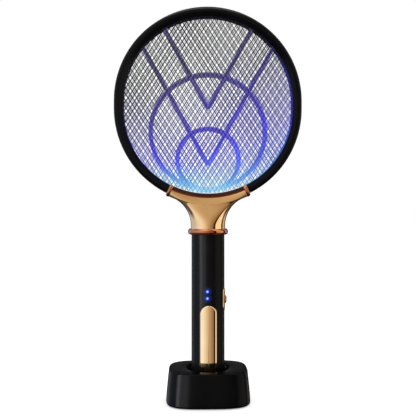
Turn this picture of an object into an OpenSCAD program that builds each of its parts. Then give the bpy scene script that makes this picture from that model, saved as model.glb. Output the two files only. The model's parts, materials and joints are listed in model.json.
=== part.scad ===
// Rechargeable electric fly swatter standing in its charging dock.
// The racket head holds three wire meshes in a two-part ring. The handle is a tube made of two
// shells, and the dock charges it through two sprung pins. Front faces -Y, up is +Z, millimetres.

/* [Head] */
// Outer radius of the head ring
head_r = 103.6; // [102:0.2:106]
// Straight run at each side that makes the ring slightly taller than wide
head_straight = 8.8; // [6:0.2:10]
// Height of the head's centre above the table
head_z = 327.2; // [325:0.1:332]
// Half of the ring's depth, front to back
ring_half_depth = 10; // [9.75:0.25:10.25]
// Radial width of the ring
ring_width = 9.9; // [9.6:0.1:10.8]
// Spacing of the mesh wires
mesh_pitch = 12; // [9:0.5:20]
// Width of one mesh wire
wire_w = 1; // [0.6:0.1:1.4]
// Angle of the wires above the horizontal
wire_angle = 57; // [45:1:65]
// Width of the V bars of the brace
brace_bar_w = 4.4; // [3:0.2:6]
// Angle of the V bars above the horizontal
brace_angle = 61; // [50:1:70]

/* [Neck] */
// Radius of the neck where it meets the collar
neck_r = 19; // [18.8:0.1:19.5]
// Half of the angle that the neck wraps round the ring
neck_wrap = 24; // [20:1:28]
// Wall thickness of the neck covers
neck_wall = 1.6; // [1.2:0.1:2]

/* [Handle] */
// Outer radius of the handle tube
handle_r = 18.4; // [18:0.1:18.6]
// Wall thickness of the handle shells
handle_wall = 2; // [1.6:0.1:2.2]
// Height of the handle's top end
handle_top = 184.2; // [180:0.1:190]
// Height of the zap button's top end
button_top = 107.5; // [100:0.5:115]
// Width of the zap button
button_w = 18; // [16:0.2:18.6]
// Direction of the mode switch, round from the front
switch_angle = 75; // [70:1:80]
// Height of the mode switch's middle
switch_z = 113; // [110:0.5:116]

/* [Dock] */
// Half of the dock's greatest width
dock_half_w = 46.2; // [42:0.1:50]
// Half of the dock's greatest depth
dock_half_d = 37.5; // [34:0.1:40]
// Height of the dock's deck
dock_h = 37; // [35:0.5:40]
// Radial gap between the handle and its socket
socket_gap = 0.5; // [0.3:0.1:0.8]
// Height of the socket's floor
socket_floor = 12; // [11.5:0.25:12.5]

/* [Hidden] */
$fn = 96;
eps = 0.05;

// Head stack, measured from the middle plane outwards
inner_r = head_r - ring_width;
pocket_r = inner_r + 2.2;
stack_r = pocket_r - 0.2;
hv_half = 0.6;
spacer_out = 3.4;
brace_out = 5.0;
grille_out = 5.8;
bevel_r = inner_r + 3.8;
ring_fillet = 4;
arc_z = head_z - head_straight / 2;
channel_in = inner_r + 4.2;
channel_out = head_r - 1.7;
channel_depth = ring_half_depth - 2.4;
boss_r = 2.2;
boss_ring_r = (channel_in + channel_out) / 2;
boss_angles = [30, 90, 150, 210, 330];
lamp_span = 40;
lead_angle = 23.5;

// Handle
inner_tube_r = handle_r - handle_wall;
cap_bottom = socket_floor + eps;
handle_bottom = cap_bottom + 4;
button_bottom = 26.5;
button_gap = 0.3;
flange_w = button_w + 2.2;
flange_front = -12.2;
flange_back = -11.2;
button_face_r = handle_r + 1.6;
board_front = -7;
board_back = -5.4;
screw_low_z = 21.5;
screw_high_z = 172;
screw_boss_r = 3.2;
battery_z = 33;
battery_r = 9.2;
battery_len = 65;
battery_y = 5.6;
led_zs = [115.4, 122.7];
led_x = -1.3;
seam = 0.3;
lead_x = 8;
lamp_lead_x = 4.4;
pad_x = 7;
pad_z = socket_floor + 1.2;
stem_bottom = 150;
stem_r = 15.2;
stem_half = 10.2;
stem_wall = 2;

// Dock
socket_r = handle_r + socket_gap;
well_r = handle_r + 2.3;
dock_power = 3.4;
foot_h = 0.8;
column_x = 28;
column_y = 17;
foot_x = 36;
foot_y = 9;
dock_board_z = 3.4;
dock_board_top = 5;
barrel_top = 9.6;
pin_r = 0.9;
pin_bottom = 8.2;

black = "#161616";
gold = "#d9a873";
steel = "#8a8d92";
clear_violet = "#7a74c8";
pcb_green = "#1d5a3a";

// ---- shared shapes ----

// Point n of an arc of radius r round c, from angle a0 to a1
function arc_points(c, r, a0, a1, n) =
    [for (i = [0:n]) c + r * [cos(a0 + (a1 - a0) * i / n), sin(a0 + (a1 - a0) * i / n)]];

// Outline of a superellipse: power 2 is an ellipse, and more is squarer
function squircle(half_x, half_y, power, n) = [
    for (i = [0:n - 1])
        let (c = cos(360 * i / n), s = sin(360 * i / n))
        [half_x * sign(c) * pow(abs(c), 2 / power), half_y * sign(s) * pow(abs(s), 2 / power)]
];

// The head's own plane: x across, y up, z towards the front
module head_place() {
    translate([0, 0, head_z]) rotate([90, 0, 0]) children();
}

// The head's plane centred on the lower half ring, turned so that x points straight down
module arc_place() {
    translate([0, 0, arc_z]) rotate([90, 0, 0]) rotate([0, 0, -90]) children();
}

// A section swept round the head: two half rings and two short straight runs
module oval_sweep() {
    translate([0, head_straight / 2, 0]) rotate_extrude(angle = 180) children();
    translate([0, -head_straight / 2, 0]) rotate([0, 0, 180]) rotate_extrude(angle = 180) children();
    for (side = [0, 1]) {
        mirror([side, 0, 0])
            rotate([90, 0, 0]) linear_extrude(head_straight, center = true) children();
    }
}

// A section swept along the bottom of the ring, over span degrees
module arc_sweep(span) {
    rotate([0, 0, -span / 2]) rotate_extrude(angle = span) children();
}

// Flat oval with the head's proportions
module oval(r) {
    translate([0, head_straight / 2]) circle(r);
    translate([0, -head_straight / 2]) circle(r);
    square([2 * r, head_straight], center = true);
}

function oval_point(a, r) = [r * cos(a), r * sin(a) + sign(sin(a)) * head_straight / 2];

// Upright pill from z0 to z1, running in Y from y0 to y1
module pill(w, z0, z1, y0, y1) {
    translate([0, y0, 0]) rotate([90, 0, 0]) mirror([0, 0, 1]) linear_extrude(y1 - y0) {
        translate([0, z0 + w / 2]) circle(w / 2);
        translate([0, z1 - w / 2]) circle(w / 2);
        translate([-w / 2, z0 + w / 2]) square([w, z1 - z0 - w]);
    }
}

// Upright cylinder from z0 to z1
module post(r, z0, z1) {
    translate([0, 0, z0]) cylinder(h = z1 - z0, r = r);
}

// Cylinder along Y from y0 to y1
module rod_y(r, y0, y1) {
    translate([0, y0, 0]) rotate([-90, 0, 0]) cylinder(h = y1 - y0, r = r);
}

// Straight wire between two points with round ends
module wire(a, b, r) {
    d = b - a;
    translate(a) rotate([0, acos(d[2] / norm(d)), atan2(d[1], d[0])]) cylinder(h = norm(d), r = r, $fn = 24);
    translate(b) sphere(r, $fn = 24);
}

// Round coil spring along Z, one closed tube swept along its helix
module coil(coil_r, wire_r, height, turns) {
    sides = 6;
    rings = turns * 14;
    pts = [
        for (i = [0:rings], j = [0:sides - 1])
            let (a = 360 * turns * i / rings, b = 360 * j / sides, r = coil_r + wire_r * cos(b))
            [r * cos(a), r * sin(a), wire_r + (height - 2 * wire_r) * i / rings + wire_r * sin(b)]
    ];
    walls = [
        for (i = [0:rings - 1], j = [0:sides - 1], half = [0, 1])
            let (a = i * sides + j, b = i * sides + (j + 1) % sides)
            half == 0 ? [a, b, a + sides] : [b, b + sides, a + sides]
    ];
    first = [[for (j = [sides - 1:-1:0]) j]];
    last = [[for (j = [0:sides - 1]) rings * sides + j]];
    polyhedron(pts, concat(walls, first, last), convexity = 8);
}

// ---- head ----

// Section of one half of the ring, from the middle plane (y 0) to the face
module ring_section() {
    d = ring_half_depth;
    polygon(concat(
        [[inner_r, grille_out + 0.1], [pocket_r, grille_out + 0.1], [pocket_r, 0], [channel_in, 0]],
        [[channel_in, channel_depth], [channel_out, channel_depth], [channel_out, 0]],
        [[head_r - seam, 0], [head_r, seam]],
        arc_points([head_r - ring_fillet, d - ring_fillet], ring_fillet, 0, 90, 6),
        [[bevel_r, d]]
    ));
}

// Half of the stem that runs from the ring down into the handle
module half_stem() {
    translate([0, 0, stem_bottom]) linear_extrude(arc_z - head_r + 1 - stem_bottom) difference() {
        intersection() {
            circle(stem_r);
            translate([-stem_r, -stem_half]) square([2 * stem_r, stem_half]);
        }
        intersection() {
            circle(stem_r - stem_wall);
            translate([-stem_r, stem_wall - stem_half]) square([2 * stem_r, stem_half]);
        }
    }
}

// Front half of the ring with its share of the stem and its screw bosses
module half_frame(hole_r, hole_depth) {
    difference() {
        union() {
            head_place() {
                oval_sweep() ring_section();
                for (a = boss_angles) {
                    translate(concat(oval_point(a, boss_ring_r), [0])) cylinder(h = channel_depth + 0.5, r = boss_r);
                }
            }
            half_stem();
        }
        head_place() for (a = boss_angles) {
            translate(concat(oval_point(a, boss_ring_r), [-1])) cylinder(h = hole_depth + 1, r = hole_r);
        }
        // seat of the curved lamp board
        arc_place() arc_sweep(lamp_span + 2) translate([pocket_r - 1, -eps]) square([1.9, 5]);
        // ways through for the upper handle screw and for the leads
        translate([0, 0, screw_high_z]) rod_y(3.6, -20, 1);
        for (side = [-1, 1]) {
            translate([side * lamp_lead_x, 0, 0]) post(1, arc_z - head_r - 4, arc_z - pocket_r - 0.5);
            translate([side * lead_x, 0, 0]) post(1.2, arc_z - head_r - 4, arc_z - channel_in - 0.5);
            arc_place() rotate([0, 0, side * lead_angle]) translate([pocket_r - 0.5, 0, 0])
                rotate([0, 90, 0]) cylinder(h = channel_in - pocket_r + 1, r = 1.1);
        }
    }
}

module head_frame_front() color(black) half_frame(0.9, 7);

module head_frame_rear() color(black) difference() {
    mirror([0, 1, 0]) half_frame(1.25, ring_half_depth + 1);
    head_place() for (a = boss_angles) {
        translate(concat(oval_point(a, boss_ring_r), [-ring_half_depth - 1])) cylinder(h = 2.6, r = 2.1);
    }
}

module head_screws() color(steel) head_place() for (a = boss_angles) {
    translate(concat(oval_point(a, boss_ring_r), [0])) {
        translate([0, 0, -ring_half_depth + 0.2]) cylinder(h = 1.4, r = 1.9);
        translate([0, 0, -ring_half_depth + 1]) cylinder(h = ring_half_depth - 1, r = 1);
        cylinder(h = 6, r = 0.85);
    }
}

// Two families of crossing wires inside an oval
module lattice(r) {
    count = ceil(1.1 * r / mesh_pitch);
    intersection() {
        oval(r);
        for (side = [-1, 1], i = [-count:count]) {
            rotate(side * (90 - wire_angle)) translate([i * mesh_pitch, 0]) square([wire_w, 2.4 * r], center = true);
        }
    }
}

module rim(r_out, r_in) difference() {
    oval(r_out);
    oval(r_in);
}

module grille() {
    head_place() translate([0, 0, brace_out]) linear_extrude(grille_out - brace_out) {
        lattice(stack_r - 0.5);
        rim(stack_r, inner_r - 0.4);
    }
}

module grille_front() color(steel) grille();
module grille_rear() color(steel) mirror([0, 1, 0]) grille();

// A leg of a V whose apex lies at apex_y on the middle line
module v_leg(apex_y, side) {
    translate([0, apex_y]) rotate(90 - side * (90 - brace_angle))
        translate([0, -brace_bar_w / 2]) square([1.6 * head_r, brace_bar_w]);
}

module band(centre_y, r) translate([0, centre_y]) difference() {
    circle(r + brace_bar_w / 2);
    circle(r - brace_bar_w / 2);
}

module brace() {
    head_place() translate([0, 0, spacer_out]) linear_extrude(brace_out - spacer_out) {
        intersection() {
            oval(stack_r - 0.5);
            union() {
                for (apex_y = [-3, -66], side = [-1, 1]) v_leg(apex_y, side);
                band(-29.5, 63.5);
                band(-60, 34);
            }
        }
        rim(stack_r, inner_r + 0.5);
    }
}

module brace_front() color(clear_violet) brace();
module brace_rear() color(clear_violet) mirror([0, 1, 0]) brace();

module mesh_spacer() {
    difference() {
        head_place() oval_sweep() translate([inner_r + 0.5, hv_half]) square([stack_r - inner_r - 0.5, spacer_out - hv_half]);
        arc_place() arc_sweep(lamp_span + 2) translate([inner_r - 1, -1]) square([4, 2.7]);
    }
}

module mesh_spacer_front() color("#202024") mesh_spacer();
module mesh_spacer_rear() color("#202024") mirror([0, 1, 0]) mesh_spacer();

module hv_grid() color(steel) difference() {
    head_place() translate([0, 0, -hv_half]) linear_extrude(2 * hv_half) {
        lattice(stack_r - 0.6);
        rim(stack_r - 0.1, inner_r - 0.4);
    }
    arc_place() arc_sweep(lamp_span + 4) translate([inner_r - 0.8, -2]) square([5, 4]);
}

module lamp_board() color("white") arc_place() arc_sweep(lamp_span) translate([pocket_r + 0.05, -4.5]) square([0.75, 9]);

module uv_leds() color("#c9c4ff") arc_place() for (a = [-15:6:15]) {
    rotate([0, 0, a]) translate([inner_r + 0.7, -1.75, -1.4]) cube([1.5, 3.5, 2.8]);
}

module lamp_lens() color("#dfe8ff", 0.5) arc_place() arc_sweep(lamp_span) translate([inner_r, -3.2]) square([0.45, 6.4]);

// ---- neck ----

wrap_r = head_r + 2.2;
wrap_half = ring_half_depth + 2.2;
crown_r = head_r - 4.1;
crown_end_r = head_r - 5.2;
crown_power = 3.5;
neck_bottom = handle_top + 6.4;
neck_bend_z = neck_bottom + 3.4;
side_x = wrap_r * sin(neck_wrap);
side_z = arc_z - wrap_r * cos(neck_wrap);
flare_dx = side_x - neck_r;
flare_dz = side_z - neck_bend_z;
flare_r = (flare_dx * flare_dx + flare_dz * flare_dz) / (2 * flare_dx);
flare_end = atan2(flare_dz, flare_dx - flare_r);
flare_rows = 9;
crown_rows = 6;
neck_rows = flare_rows + crown_rows + 2;
neck_cols = 24;
neck_mid_depth = wrap_half + 1.1;

// Row of the neck surface, t inside the outer face: [side x, side z, middle z, side depth, middle depth, power]
function flare_row(k, t) =
    let (f = max(0, k - 1) / (flare_rows - 1), a = 180 + (flare_end - 180) * f, r = flare_r + t)
    k == 0
        ? [neck_r - t, neck_bottom, neck_bottom, 0, neck_r - t, 2]
        : [
            neck_r + flare_r + r * cos(a), neck_bend_z + r * sin(a),
            neck_bend_z + (arc_z - wrap_r + t - neck_bend_z) * f, 0,
            neck_r - t + (neck_mid_depth - neck_r) * f * f * (3 - 2 * f), 2 + 0.8 * f
        ];

function crown_row(k, t) =
    let (
        a = min(90, 90 * k / crown_rows),
        last = k > crown_rows,
        r = last ? crown_end_r : crown_r + (wrap_r - crown_r - t) * pow(cos(a), 2 / crown_power),
        e = (wrap_half - t) * pow(sin(a), 2 / crown_power) - (last && t == 0 ? 0.5 : 0)
    )
    [r * sin(neck_wrap), arc_z - r * cos(neck_wrap), arc_z - r, e,
        max(e, neck_mid_depth - t - 1.1 * pow(a / 90, 4) - (last && t == 0 ? 0.5 : 0)), 2.8];

function neck_row(k, t) = k <= flare_rows ? flare_row(k, t) : crown_row(k - flare_rows, t);

function neck_point(row, u) =
    let (
        s = sin(90 * u),
        sag = (1 - sqrt(1 - pow(s * sin(neck_wrap), 2))) / (1 - cos(neck_wrap)),
        round = pow(max(0, 1 - pow(abs(s), row[5])), 1 / row[5])
    )
    [row[0] * s, -(row[3] + (row[4] - row[3]) * round), row[2] + (row[1] - row[2]) * sag];

// One neck cover as a single closed skin: outer face, inner face and the edges between them
module neck_cover() {
    cols = neck_cols + 1;
    size = neck_rows * cols;
    pts = [
        for (t = [0, neck_wall], k = [0:neck_rows - 1], c = [0:neck_cols])
            neck_point(neck_row(k, t), 2 * c / neck_cols - 1)
    ];
    skin = [
        for (k = [0:neck_rows - 2], c = [0:neck_cols - 1], half = [0, 1])
            let (a = k * cols + c)
            half == 0 ? [a, a + cols, a + 1] : [a + 1, a + cols, a + cols + 1]
    ];
    lining = [for (f = skin) [f[0] + size, f[2] + size, f[1] + size]];
    border = concat(
        [for (c = [0:neck_cols - 1]) c],
        [for (k = [0:neck_rows - 2]) k * cols + neck_cols],
        [for (c = [neck_cols:-1:1]) (neck_rows - 1) * cols + c],
        [for (k = [neck_rows - 1:-1:1]) k * cols]
    );
    n = len(border);
    edge = [
        for (i = [0:n - 1], half = [0, 1])
            let (a = border[i], b = border[(i + 1) % n])
            half == 0 ? [a, b, a + size] : [b, b + size, a + size]
    ];
    polyhedron(pts, concat(skin, lining, edge), convexity = 6);
}

module neck_front() color(gold) neck_cover();
module neck_rear() color(gold) mirror([0, 1, 0]) neck_cover();

// Plated strip over the ring's inner bevel between the collars
module saddle() {
    d = ring_half_depth;
    arc_place() arc_sweep(2 * neck_wrap - 1) polygon([
        [inner_r - 0.3, grille_out + 0.2], [inner_r, grille_out + 0.2], [bevel_r - 0.1, d + 0.05],
        [crown_end_r - 0.1, d + 0.05], [crown_end_r - 0.1, d + 0.7], [bevel_r - 0.4, d + 0.6]
    ]);
}

module saddle_front() color("#6b4028") saddle();
module saddle_rear() color("#6b4028") mirror([0, 1, 0]) saddle();

// Band round the ring where the neck cover ends, open at its inner side for the meshes
module ring_collar() {
    out_half = ring_half_depth + 3.4;
    mid_r = (inner_r + head_r) / 2 + 1.4;
    corner = 4.2;
    arc_place() rotate([0, 0, neck_wrap + 0.15]) rotate_extrude(angle = 2.15) difference() {
        union() {
            for (side = [-1, 1]) {
                translate([mid_r - 1.9, side * (out_half - corner)]) circle(corner);
                translate([mid_r + 1.9, side * (out_half - corner)]) circle(corner);
            }
            translate([mid_r - 1.9, -out_half]) square([3.8, 2 * out_half]);
            translate([mid_r - 1.9 - corner, corner - out_half]) square([3.8 + 2 * corner, 2 * (out_half - corner)]);
        }
        translate([inner_r - 4, -grille_out - 0.3]) square([6, 2 * grille_out + 0.6]);
        for (side = [-1, 1]) {
            translate([head_r - ring_fillet, side * (ring_half_depth - ring_fillet)]) circle(ring_fillet + 0.25);
        }
        translate([bevel_r - 0.25, -ring_half_depth - 0.25])
            square([head_r - ring_fillet - bevel_r + 0.25, 2 * ring_half_depth + 0.5]);
        polygon([
            [inner_r - 0.3, -grille_out - 0.3], [bevel_r - 0.25, -ring_half_depth - 0.25],
            [bevel_r - 0.25, ring_half_depth + 0.25], [inner_r - 0.3, grille_out + 0.3]
        ]);
        translate([bevel_r - 1, -ring_half_depth + ring_fillet])
            square([head_r + 1.25 - bevel_r, 2 * (ring_half_depth - ring_fillet)]);
    }
}

module collar_right() color(gold) ring_collar();
module collar_left() color(gold) mirror([1, 0, 0]) ring_collar();

module neck_collar() color(gold) translate([0, 0, handle_top + 3.2]) rotate_extrude() intersection() {
    translate([handle_r + 0.2, 0]) circle(3.8);
    translate([inner_tube_r + 0.2, -3.2]) square([8, 6.4]);
}

// ---- handle ----

// Half of a tube standing on z0, on the front side, with its outer seam edges chamfered
module half_tube(r_out, r_in, z0, z1) {
    difference() {
        translate([0, 0, z0]) rotate([0, 0, 180]) rotate_extrude(angle = 180)
            translate([r_in, 0]) square([r_out - r_in, z1 - z0]);
        for (side = [-1, 1]) {
            translate([side * r_out, 0, (z0 + z1) / 2]) rotate([0, 0, 45])
                cube([1.4 * seam, 1.4 * seam, z1 - z0 + 1], center = true);
        }
    }
}

// Turns what is drawn at the front round to the mode switch
module switch_place() {
    rotate([0, 0, switch_angle]) children();
}

module handle_front() color(black) difference() {
    union() {
        half_tube(handle_r, inner_tube_r, handle_bottom, handle_top);
        for (z = [screw_low_z, screw_high_z]) translate([0, 0, z]) rod_y(screw_boss_r, -handle_r + 1.2, 0);
    }
    for (z = [screw_low_z, screw_high_z]) translate([0, 0, z]) rod_y(1.15, -13, 1);
    pill(button_w + 2 * button_gap, button_bottom - button_gap, button_top + button_gap, -handle_r - 2, -11);
    switch_place() pill(8.4, switch_z - 12, switch_z + 12, -handle_r - 2, -11);
    for (z = led_zs) translate([led_x, 0, z]) rod_y(1.6, -handle_r - 2, -14);
}

module handle_rear() color(black) difference() {
    union() {
        mirror([0, 1, 0]) half_tube(handle_r, inner_tube_r, handle_bottom, handle_top);
        for (z = [screw_low_z, screw_high_z]) translate([0, 0, z]) rod_y(screw_boss_r, 0, handle_r - 1.2);
    }
    for (z = [screw_low_z, screw_high_z]) translate([0, 0, z]) {
        rod_y(1.6, -1, handle_r);
        rod_y(2.7, 12, handle_r + 1);
    }
}

module handle_screws() color(steel) for (z = [screw_low_z, screw_high_z]) translate([0, 0, z]) {
    rod_y(2.5, 12, 13.6);
    rod_y(1.4, 0, 12);
    rod_y(1.1, -11, 0);
}

module end_cap() color(black) difference() {
    rotate_extrude() polygon([
        [0, cap_bottom], [handle_r - 0.8, cap_bottom], [handle_r, cap_bottom + 0.8], [handle_r, handle_bottom],
        [inner_tube_r - 0.1, handle_bottom], [inner_tube_r - 0.1, handle_bottom + 2], [0, handle_bottom + 2]
    ]);
    for (side = [-1, 1]) translate([side * pad_x, 0, 0]) post(3, 0, handle_bottom + 3);
}

module charge_pads() color("#c9a35a") for (side = [-1, 1]) translate([side * pad_x, 0, 0]) {
    post(2.9, pad_z, handle_bottom + 2.5);
}

module zap_button() color(gold) {
    intersection() {
        pill(button_w, button_bottom, button_top, -button_face_r - 1, flange_front);
        post(button_face_r, 0, handle_top);
    }
    pill(flange_w, button_bottom - 1, button_top + 1, flange_front, flange_back);
}

button_spring_zs = [44, 92];

module button_springs() color(steel) for (z = button_spring_zs) {
    translate([0, board_front, z]) rotate([90, 0, 0]) coil(2.2, 0.3, board_front - flange_back, 3);
}

module tact_switch() color("#2a2a2e") translate([0, 0, 68]) {
    translate([-3, board_front - 2.3, -3]) cube([6, 2.3, 6]);
    rod_y(1.7, board_front - 2.95, board_front - 2.3);
}

module switch_bezel() color(gold) switch_place() intersection() {
    difference() {
        pill(8.4, switch_z - 12, switch_z + 12, -handle_r - 2, -14.4);
        pill(4.6, switch_z - 7.6, switch_z + 7.6, -handle_r - 3, -14);
    }
    difference() {
        post(handle_r + 0.8, 0, handle_top);
        post(inner_tube_r + 0.2, -1, handle_top + 1);
    }
}

module switch_knob() color(gold) switch_place() {
    pill(6, switch_z - 4.2, switch_z + 4.2, -handle_r - 2.3, -handle_r - 1.1);
    translate([-1.9, -handle_r - 1.2, switch_z - 3]) cube([3.8, 4.2, 6]);
    translate([-0.8, -handle_r + 3, switch_z - 1.5]) cube([1.6, 2.6, 3]);
}

module slide_switch() color(steel) switch_place() difference() {
    translate([-2.6, -14, switch_z - 8]) cube([5.2, 5, 16]);
    translate([-1.2, -14.5, switch_z - 5.6]) cube([2.4, 3, 11.2]);
}

module indicator_lenses() color("#8fd0ff") for (z = led_zs) intersection() {
    translate([led_x, 0, z]) rod_y(1.55, -handle_r - 1, -14.6);
    post(handle_r + 0.15, 0, handle_top);
}

module indicator_leds() color("white") for (z = led_zs) {
    translate([led_x - 1, -9.2, z - 1]) cube([2, 2.2, 2]);
}

module main_board() color(pcb_green) difference() {
    translate([-12.4, board_front, 34]) cube([24.8, board_back - board_front, 112]);
    translate([5.5, board_front - 1, switch_z - 9]) cube([9, 4, 18]);
}

module battery_cell() color("#3c6fb4") translate([0, battery_y, 0]) {
    post(battery_r, battery_z, battery_z + battery_len - 1.2);
    post(3, battery_z + battery_len - 1.2, battery_z + battery_len);
}

module battery_tray() color("#2a2a2e") difference() {
    translate([0, battery_y, 0]) post(battery_r + 0.9, battery_z - 1.6, battery_z + battery_len + 1.6);
    translate([0, battery_y, 0]) post(battery_r + 0.1, battery_z - 0.1, battery_z + battery_len + 0.1);
    translate([-15, battery_y - 16, 0]) cube([30, 14, handle_top]);
}

module transformer() color("#3a3a3a") translate([0, board_back, 124]) {
    difference() {
        translate([-8, 0, 0]) cube([16, 12, 14]);
        translate([-5, -1, 2.5]) cube([10, 14, 9]);
    }
    translate([0, 0, 7]) rod_y(3.6, 0.5, 11.5);
}

module hv_capacitors() color("#a0432c") translate([0, board_back, 0]) {
    translate([-8, 0, 102]) cube([12, 6, 9]);
    for (x = [-6, -1]) translate([x, 0, 117]) rod_y(2.3, 0, 5);
}

// Leads up the stem and along the ring's channel to the edge of the powered mesh
module hv_leads() color("firebrick") for (side = [-1, 1]) {
    r = arc_z - (channel_in + 1.2 + 0.1);
    wire([side * lead_x, 0, 140], [side * lead_x, 0, r], 0.8);
    arc_place() rotate([0, 0, side > 0 ? 4.5 : -lead_angle]) rotate_extrude(angle = lead_angle - 4.5)
        translate([channel_in + 1.2, 0]) circle(0.8, $fn = 24);
    arc_place() rotate([0, 0, side * lead_angle]) translate([stack_r + 0.1, 0, 0])
        rotate([0, 90, 0]) cylinder(h = channel_in + 1.2 - stack_r, r = 0.8, $fn = 24);
}

module lamp_leads() color("white") for (side = [-1, 1]) {
    wire([side * lamp_lead_x, 0, 140], [side * lamp_lead_x, 0, arc_z - pocket_r - 1.7], 0.7);
}

// ---- dock ----

module slice(z, inset) {
    translate([0, 0, z]) linear_extrude(0.01)
        polygon(squircle(dock_half_w - inset, dock_half_d - inset, dock_power, 64));
}

module dock_housing() color(black) difference() {
    hull() {
        slice(foot_h, 1);
        slice(4.5, 0);
        slice(dock_h - 2.2, 2.8);
        slice(dock_h - 0.01, 4.1);
    }
    hull() {
        slice(foot_h - 1, 4);
        slice(4.5, 2.4);
        slice(dock_h - 2.6, 5.2);
    }
    translate([0, 0, dock_h - 2.7]) linear_extrude(4) polygon(squircle(dock_half_w - 5.9, dock_half_d - 5.9, dock_power, 64));
    usb_opening();
}

module usb_opening() {
    translate([0, dock_half_d - 7, 6.8]) rotate([-90, 0, 0]) linear_extrude(9) {
        square([6, 4], center = true);
        for (x = [-3, 3]) translate([x, 0]) circle(2);
    }
}

module dock_deck() color(black) difference() {
    union() {
        translate([0, 0, dock_h - 2.6]) linear_extrude(2.6)
            polygon(squircle(dock_half_w - 6, dock_half_d - 6, dock_power, 64));
        post(well_r + 2.2, socket_floor - 2, dock_h - 1);
        for (sx = [-1, 1], sy = [-1, 1]) translate([sx * column_x, sy * column_y, 0]) post(3.2, 3.05, dock_h - 1);
    }
    post(socket_r, socket_floor, dock_h + 1);
    post(well_r, 25, dock_h + 1);
    translate([0, 0, dock_h - 3]) cylinder(h = 3.1, r1 = well_r, r2 = well_r + 3.6);
    for (sx = [-1, 1]) translate([sx * pad_x, 0, 0]) post(1.6, socket_floor - 3, socket_floor + 1);
    for (sx = [-1, 1], sy = [-1, 1]) translate([sx * column_x, sy * column_y, 0]) post(1.1, 0, 12);
}

module dock_base_plate() color("#202020") difference() {
    translate([0, 0, foot_h + 0.2]) linear_extrude(2)
        polygon(squircle(dock_half_w - 4.1, dock_half_d - 4.1, dock_power, 64));
    for (sx = [-1, 1], sy = [-1, 1]) translate([sx * column_x, sy * column_y, 0]) {
        post(1.5, 0, 4);
        post(2.7, 0, foot_h + 1.3);
    }
}

module dock_screws() color(steel) for (sx = [-1, 1], sy = [-1, 1]) translate([sx * column_x, sy * column_y, 0]) {
    post(2.4, foot_h + 0.4, foot_h + 1.3);
    post(1.05, foot_h + 1.3, 10);
}

module dock_feet() color("#101010") for (sx = [-1, 1], sy = [-1, 1]) {
    translate([sx * foot_x, sy * foot_y, 0]) post(4, 0, foot_h + 0.2);
}

module dock_board() color(pcb_green) difference() {
    translate([-20, -14, dock_board_z]) cube([40, dock_half_d - 6 + 14, dock_board_top - dock_board_z]);
    for (sx = [-1, 1]) translate([sx * pad_x, 0, 0]) post(0.6, 0, dock_board_top + 1);
}

module usb_socket() color(steel) difference() {
    translate([0, dock_half_d - 10, 6.75]) rotate([-90, 0, 0]) linear_extrude(7.3) {
        square([5.6, 3.3], center = true);
        for (x = [-2.8, 2.8]) translate([x, 0]) circle(1.65);
    }
    translate([0, dock_half_d - 9, 6.75]) rotate([-90, 0, 0]) linear_extrude(7) difference() {
        union() {
            square([5.6, 2.6], center = true);
            for (x = [-2.8, 2.8]) translate([x, 0]) circle(1.3);
        }
        translate([-3.3, -0.35]) square([6.6, 0.7]);
    }
}

// Sprung contact pin, rounded at its tip
module pogo_pin(side) {
    translate([side * pad_x, 0, 0]) {
        post(pin_r, pin_bottom, pad_z - 0.05 - pin_r);
        translate([0, 0, pad_z - 0.05 - pin_r]) sphere(pin_r, $fn = 32);
    }
}

module pogo_pin_left() color("#c9a35a") pogo_pin(-1);
module pogo_pin_right() color("#c9a35a") pogo_pin(1);

module pogo_barrels() color("#c9a35a") for (side = [-1, 1]) translate([side * pad_x, 0, 0]) difference() {
    post(1.5, dock_board_top, barrel_top);
    post(pin_r + 0.06, dock_board_top + 0.6, barrel_top + 1);
}

module pogo_springs() color(steel) for (side = [-1, 1]) {
    translate([side * pad_x, 0, dock_board_top + 0.6]) coil(0.6, 0.12, pin_bottom - dock_board_top - 0.6, 5);
}

head_frame_front();
head_frame_rear();
grille_front();
grille_rear();
brace_front();
brace_rear();
mesh_spacer_front();
mesh_spacer_rear();
hv_grid();
lamp_board();
uv_leds();
lamp_lens();
head_screws();
saddle_front();
saddle_rear();
collar_left();
collar_right();
neck_front();
neck_rear();
neck_collar();
handle_front();
handle_rear();
end_cap();
charge_pads();
zap_button();
button_springs();
tact_switch();
switch_bezel();
switch_knob();
slide_switch();
indicator_lenses();
indicator_leds();
main_board();
battery_cell();
battery_tray();
transformer();
hv_capacitors();
hv_leads();
lamp_leads();
handle_screws();
dock_housing();
dock_deck();
dock_base_plate();
dock_feet();
dock_board();
usb_socket();
pogo_pin_left();
pogo_pin_right();
pogo_barrels();
pogo_springs();
dock_screws();
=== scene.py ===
# %% [markdown]
# # A rechargeable electric fly swatter in its charging dock
#
# The racket is a real object in three finishes: black moulded ABS (ring, handle, dock), ABS plated
# in rose gold (neck, collars, switch, press bar) and bare steel wire (three meshes, lit from below
# by ultraviolet lamps). This file dresses a CAD frame that already has every part in its place.
# Each step first says what the piece or finish is on the real object, how it could be made, and why
# this way was chosen.

# %% Load the CAD frame
import json
import math

import bmesh
import bpy
from mathutils import Matrix, Vector

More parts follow.
